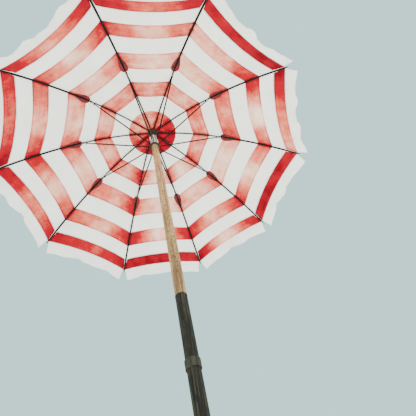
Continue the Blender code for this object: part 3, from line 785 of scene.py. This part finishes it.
def strut(index):
    """A rod with a fork that straddles the rib, a collar behind the fork, and a flattened eye."""
    form = bmesh.new()
    place = (about_rib(index) @ Matrix.Translation((PIVOT_RADIUS, 0, -PIVOT_DROP))
             @ Matrix.Rotation(STRUT_TURN, 4, "Y"))
    cheek_radius, cheek_offset, cheek_half = 0.0032, 0.0044, 0.0010
    for side in (1, -1):
        stations = [(-cheek_radius * math.cos(a), 0.0, cheek_half, max(cheek_radius * math.sin(a), 0.0004))
                    for a in [math.pi * k / 12 for k in range(7)]]
        stations += [(0.0235, 0.0, cheek_half, cheek_radius), (0.027, 0.0, cheek_half, cheek_radius * 0.8)]
        sweep(form, stations, 10, side * cheek_offset, place)
    bridge = [(0.0225, 0.0, 0.0050, 0.0024), (0.0235, 0.0, 0.0054, 0.0031), (0.0275, 0.0, 0.0054, 0.0032),
              (0.0310, 0.0, 0.0038, 0.0031)]
    rod_end = STRUT_LENGTH - 0.026
    rod = [(0.0335, 0.0, ROD_RADIUS, ROD_RADIUS)]
    for k in range(1, 13):
        wide = ROD_RADIUS + (INNER_ROD_HALF_WIDTH - ROD_RADIUS) * math.sin(math.pi * k / 13) ** 0.5
        rod.append((0.0335 + (rod_end - 0.0335) * k / 12, 0.0, wide, ROD_RADIUS))
    eye = [(STRUT_LENGTH - 0.019, 0.0, EYE_HALF, 0.0031), (STRUT_LENGTH - 0.006, 0.0, EYE_HALF, 0.0032)]
    eye += [(STRUT_LENGTH + EYE_RADIUS * math.sin(a), 0.0, EYE_HALF, max(EYE_RADIUS * math.cos(a), 0.0004))
            for a in [math.pi * k / 12 for k in range(7)]]
    sweep(form, bridge + rod + eye, 12, place=place)
    return as_object("strut_rod_" + NUMBERS[index], form, RIB_PAINT)


def canopy():
    """Every rib's cloth, rod, strut and patches, on their bodies."""
    for index, number in enumerate(NUMBERS):
        cloth, area = gore(index)
        guard = patch("guard_" + number, index, GUARD, PATCH_THICKNESS, GUARD_RED, 0.75)
        streak = patch("guard_streak_" + number, index, GUARD_STREAK, STREAK_THICKNESS, STREAK_BLACK, 0.6)
        tie = patch("tie_streak_" + number, index, TIE_STREAK, STREAK_THICKNESS, STREAK_BLACK, 0.5)
        seams = stitches(index)
        rod = rib(index)
        for piece in (cloth, guard, streak, tie, seams, rod):
            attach(piece, "rib_" + number)
        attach(strut_piece := strut(index), "strut_" + number)
        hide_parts("canopy_panel_" + number)
        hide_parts("rib_guard_" + number)
        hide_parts("rib_" + number)
        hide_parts("strut_" + number)
        for piece in (cloth, seams, guard, streak, tie):
            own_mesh(piece)


# Pole, hubs and clamp

def slotted(name, profile, z, low, high, material):
    """A turned hub with ten radial slots for the eyes."""
    hub = turned(name, profile, material, z, segments=80)
    form = bmesh.new()
    for i in range(RIB_COUNT):
        block(form, (SLOT_FLOOR_RADIUS, -SLOT_HALF_WIDTH, z + low), (0.045, SLOT_HALF_WIDTH, z + high),
              Matrix.Rotation(i * SECTOR, 4, "Z"))
    return cut_away(hub, as_object(name + "_slots", form, material), material)


def dress(piece, body, slot, *nodes):
    """Put a piece on its body in place of its CAD nodes."""
    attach(piece, body)
    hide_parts(*nodes)
    return piece


def crown_and_top():
    low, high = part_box("crown")
    bore = 0.0153
    groove = 0.0016
    top, bottom = high.z - CROWN_Z, low.z - CROWN_Z
    profile = [(0.0044, top), (HUB_OUTER_RADIUS - 0.004, top), (HUB_OUTER_RADIUS, top - 0.003),
               (HUB_OUTER_RADIUS, groove), (0.0270, groove), (0.0270, -groove),
               (HUB_OUTER_RADIUS, -groove), (HUB_OUTER_RADIUS, NECK_TOP + 0.010),
               (HUB_OUTER_RADIUS - 0.002, NECK_TOP + 0.005), (HUB_OUTER_RADIUS - 0.005, NECK_TOP),
               (NECK_RADIUS, NECK_TOP - 0.008), (NECK_RADIUS, bottom + 0.010),
               (NECK_RADIUS - 0.0006, bottom + 0.009), (NECK_RADIUS - 0.0006, bottom + 0.007),
               (NECK_RADIUS, bottom + 0.006), (NECK_RADIUS, bottom), (NECK_BORE, bottom),
               (NECK_BORE, NECK_TOP), (bore, NECK_TOP), (bore, 0.0100), (0.0044, 0.0100)]
    crown = slotted("crown_hub", profile, CROWN_Z, -0.040, 0.006, HUB_PAINT)
    dress(crown, "upper_pole", "dark_metal", "crown")

    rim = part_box("canopy_cap")[1].x
    form = bmesh.new()
    profile = [(0.0046, 0.0141), (0.020, 0.0141), (0.036, 0.0134), (0.050, 0.0112), (rim - 0.001, 0.0098),
               (rim, 0.0090), (rim - 0.001, 0.0082), (0.050, 0.0094), (0.034, 0.0124), (0.0046, 0.0126)]
    lathe(form, profile, segments=120, radius=0.0003)
    for vertex in form.verts:
        out = math.hypot(vertex.co.x, vertex.co.y)
        turn = math.atan2(vertex.co.y, vertex.co.x)
        vertex.co.z += 0.0007 * math.cos(RIB_COUNT * turn) * smooth_step((out - 0.036) / 0.02)
    bmesh.ops.transform(form, matrix=Matrix.Translation((0, 0, CROWN_Z)), verts=form.verts)
    cap = as_object("cap_cloth", form, CAP_RED)
    dress(cap, "upper_pole", "canvas_red", "canopy_cap")

    base = 0.0144
    profile = [(0.0, 0.0620), (0.0040, 0.0614), (0.0076, 0.0596), (0.0104, 0.0562), (0.0118, 0.0520),
               (0.0112, 0.0476), (0.0088, 0.0436), (0.0068, 0.0410), (0.0078, 0.0398), (0.0078, 0.0386),
               (0.0064, 0.0374), (0.0056, 0.0330), (0.0062, 0.0285), (0.0092, 0.0240),
               (0.0144, base + 0.0062), (0.0158, base + 0.0042), (0.0160, base + 0.0030),
               (0.0160, base), (0.0040, base), (0.0040, 0.0105), (0.0, 0.0105)]
    finial = turned("finial_wood", profile, WOOD, CROWN_Z, closed=False, segments=56, radius=0.0006)
    dress(finial, "upper_pole", "wood", "finial")


def wooden_pole():
    low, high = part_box("upper_pole")
    shoulder = CROWN_Z + NECK_TOP - 0.0003
    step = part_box("tube_rim")[1].z + 0.0003
    profile = [(0.0, high.z), (TENON_RADIUS, high.z), (TENON_RADIUS, shoulder), (POLE_RADIUS, shoulder),
               (POLE_RADIUS, step), (SPIGOT_RADIUS, step), (SPIGOT_RADIUS, low.z), (0.0, low.z)]
    pole = turned("pole_wood", profile, WOOD, closed=False, segments=72)
    catch_low, catch_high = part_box("spring_catch")
    form = bmesh.new()
    block(form, (-0.0026, 0.0075, catch_low.z - 0.004), (0.0026, 0.030, catch_high.z + 0.0009))
    pole = cut_away(pole, as_object("pocket", form, WOOD), WOOD)
    dress(pole, "upper_pole", "wood", "upper_pole")


def runner_pieces():
    low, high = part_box("runner_sleeve")
    radius = high.x
    bead = 0.0005
    profile = [(SLEEVE_BORE, high.z), (radius, high.z)]
    for z in (high.z - 0.006, high.z - 0.009, low.z + 0.010, low.z + 0.006):
        profile += [(radius, z + 0.0009), (radius - bead, z), (radius, z - 0.0009)]
    profile += [(radius, low.z), (SLEEVE_BORE, low.z)]
    dress(turned("sleeve_silver", profile, SILVER, radius=0.0003), "runner", "silver", "runner_sleeve")

    low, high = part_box("runner_collar")
    profile = [(SLEEVE_BORE, high.z), (high.x, high.z), (high.x, low.z), (SLEEVE_BORE, low.z)]
    dress(turned("collar_silver", profile, SILVER, radius=0.0022), "runner", "silver", "runner_collar")

    low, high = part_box("runner_flange")
    half = (high.z - low.z) / 2
    profile = [(SLEEVE_BORE, half), (FLANGE_RADIUS - 0.0015, half), (FLANGE_RADIUS, half - 0.0015),
               (FLANGE_RADIUS, 0.0015 - half), (FLANGE_RADIUS - 0.0015, -half), (SLEEVE_BORE, -half)]
    flange = slotted("flange_hub", profile, RUNNER_Z, -0.012, 0.012, HUB_PAINT)
    dress(flange, "runner", "dark_metal", "runner_flange")


def tube_and_spike():
    low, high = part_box("lower_tube")
    profile = [(TUBE_BORE, high.z), (TUBE_RADIUS, high.z)]
    for z in (high.z - 0.028, high.z - 0.032):
        profile += [(TUBE_RADIUS, z + 0.0012), (TUBE_RADIUS - 0.0004, z), (TUBE_RADIUS, z - 0.0012)]
    profile += [(TUBE_RADIUS, low.z), (TUBE_BORE, low.z)]
    dress(turned("tube_charcoal", profile, TUBE_PAINT, segments=72, radius=0.0004), "lower_pole",
          "dark_metal", "lower_tube")

    low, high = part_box("tube_rim")
    profile = [(TUBE_BORE, high.z), (high.x, high.z), (high.x, low.z), (TUBE_BORE, low.z)]
    dress(turned("rim_charcoal", profile, HUB_PAINT, segments=72, radius=0.0005), "lower_pole",
          "dark_metal", "tube_rim")

    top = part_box("sand_spike")[1].z
    shoulder = 0.300
    form = bmesh.new()
    profile = [(0.0, top), (0.0174, top), (0.0194, top - 0.004), (0.0194, shoulder),
               (0.0245, shoulder), (0.0245, 0.288), (0.0237, 0.2865), (0.0237, 0.2835), (0.0245, 0.282),
               (0.0245, 0.272), (0.0218, 0.262), (0.0215, 0.240), (0.0212, 0.215), (0.0196, 0.180),
               (0.0178, 0.145), (0.0160, 0.110), (0.0132, 0.080), (0.0104, 0.050), (0.0075, 0.024),
               (0.0060, 0.010), (0.0040, 0.0), (0.0, 0.0)]
    lathe(form, profile, closed=False, segments=96, radius=0.002)
    for vertex in form.verts:
        x, y, z = vertex.co
        flute = smooth_step((0.250 - z) / 0.03) * smooth_step((z - 0.012) / 0.03)
        turn = math.atan2(y, x)
        depth = 1 - 0.11 * flute * (0.5 + 0.5 * math.cos(8 * turn)) ** 2
        vertex.co.x, vertex.co.y = x * depth, y * depth
    dress(as_object("spike_moulded", form, SPIKE_PLASTIC), "lower_pole", "plastic", "sand_spike")


def clamp():
    low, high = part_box("clamp_band")
    middle = (low.z + high.z) / 2
    inner, half = TUBE_RADIUS + 0.0003, (high.z - low.z) / 2
    form = bmesh.new()
    band = [(inner, half), (0.0248, half), (0.0248, -half), (inner, -half)]
    lathe(form, band, segments=72, radius=0.0012, place=Matrix.Translation((0, 0, middle)))
    out = Matrix.Translation((0, 0, middle)) @ Matrix.Rotation(-math.pi / 2, 4, "X")
    boss = [(0.0044, 0.0360), (0.0082, 0.0360), (0.0088, 0.0315), (0.0095, 0.0250), (0.0095, 0.0234),
            (0.0044, 0.0234)]
    lathe(form, boss, segments=40, radius=0.0010, place=out)
    dress(as_object("band_charcoal", form, HUB_PAINT), "lower_pole", "dark_metal", "clamp_band")

    start, end = 0.0423, 0.0563
    form = bmesh.new()
    knob = [(0.0, end), (0.0055, end), (0.0065, end - 0.0010), (0.0120, end - 0.0006),
            (0.0160, end - 0.0030), (0.0160, start + 0.0025), (0.0120, start), (0.0, start)]
    lathe(form, knob, closed=False, segments=96, radius=0.0022)
    for vertex in form.verts:
        x, y, z = vertex.co
        reach = math.hypot(x, y)
        wave = 1 + 0.085 * math.cos(6 * math.atan2(y, x)) * smooth_step((reach - 0.007) / 0.008)
        vertex.co.x, vertex.co.y = x * wave, y * wave
    bmesh.ops.transform(form, matrix=out, verts=form.verts)
    dress(as_object("knob_rubber", form, KNOB_RUBBER), "clamp_screw", "rubber", "clamp_knob")

    pitch = 0.00125
    stud = [(0.0, 0.0420), (0.0034, 0.0420)]
    for k in range(16):
        z = 0.0412 - k * pitch
        stud += [(0.0040, z), (0.0034, z - pitch / 2)]
    stud += [(0.0034, 0.0208), (0.0, 0.0208)]
    form = bmesh.new()
    lathe(form, stud, closed=False, segments=32, radius=0.0001, place=out)
    dress(as_object("stud_steel", form, STEEL), "clamp_screw", "steel", "clamp_stud")


def carried_over():
    """Materials for the CAD nodes that stay."""
    stays = (("crown_hinge_wire", STEEL), ("spring_catch", STEEL), ("pole_plug", KNOB_RUBBER))
    for node, material in stays:
        mesh = frame["nodes"][node].data
        mesh.materials.clear()
        mesh.materials.append(material)


# Studio

CAMERA_PLACE = (-0.106, -0.954, 0.087)
CAMERA_AZIMUTH = math.radians(72.12)
CAMERA_ELEVATION = math.radians(53.96)
CAMERA_ROLL = math.radians(19.33)
CAMERA_LENS = 30.43
FLOOR_SIZE = 300.0
SKY = srgb(186, 222, 222)
SKY_STRENGTH = 1.65
SUN_SIDE = (0.5, -0.3, 2.2)
SUN_STRENGTH = 11.0
SUN_SPREAD = math.radians(50)
SUN_COLOUR = (1.0, 0.98, 0.95)


def camera():
    data = bpy.data.cameras.new("camera")
    data.lens = CAMERA_LENS
    data.sensor_width = 36.0
    data.clip_start = 0.01
    made = bpy.data.objects.new("camera", data)
    flat = math.cos(CAMERA_ELEVATION)
    look = Vector((flat * math.cos(CAMERA_AZIMUTH), flat * math.sin(CAMERA_AZIMUTH),
                   math.sin(CAMERA_ELEVATION)))
    turn = look.to_track_quat("-Z", "Y").to_matrix().to_4x4()
    made.matrix_world = Matrix.Translation(CAMERA_PLACE) @ turn @ Matrix.Rotation(-CAMERA_ROLL, 4, "Z")
    bpy.context.scene.collection.objects.link(made)
    bpy.context.scene.camera = made


def soft_sun():
    """One wide sun from above; what it throws back off the pale floor lights the cloth's underside."""
    data = bpy.data.lights.new("above", "SUN")
    data.energy = SUN_STRENGTH
    data.angle = SUN_SPREAD
    data.color = SUN_COLOUR
    made = bpy.data.objects.new("above", data)
    made.rotation_euler = (-Vector(SUN_SIDE)).to_track_quat("-Z", "Y").to_euler()
    bpy.context.scene.collection.objects.link(made)


def studio():
    form = bmesh.new()
    bmesh.ops.create_grid(form, x_segments=2, y_segments=2, size=FLOOR_SIZE / 2)
    shader = Shader("floor", roughness=0.9)
    tint = shader.noise(shader.coordinates(), 3.0, 2.0)
    shader.set("Base Color", shader.mix(tint, srgb(236, 237, 236), srgb(230, 232, 232)))
    as_object("floor", form, shader.material)

    world = bpy.data.worlds.new("studio")
    world.use_nodes = True
    background = world.node_tree.nodes["Background"]
    background.inputs["Color"].default_value = SKY
    background.inputs["Strength"].default_value = SKY_STRENGTH
    bpy.context.scene.world = world
    soft_sun()


camera()
crown_and_top()
wooden_pole()
runner_pieces()
tube_and_spike()
clamp()
canopy()
carried_over()
studio()
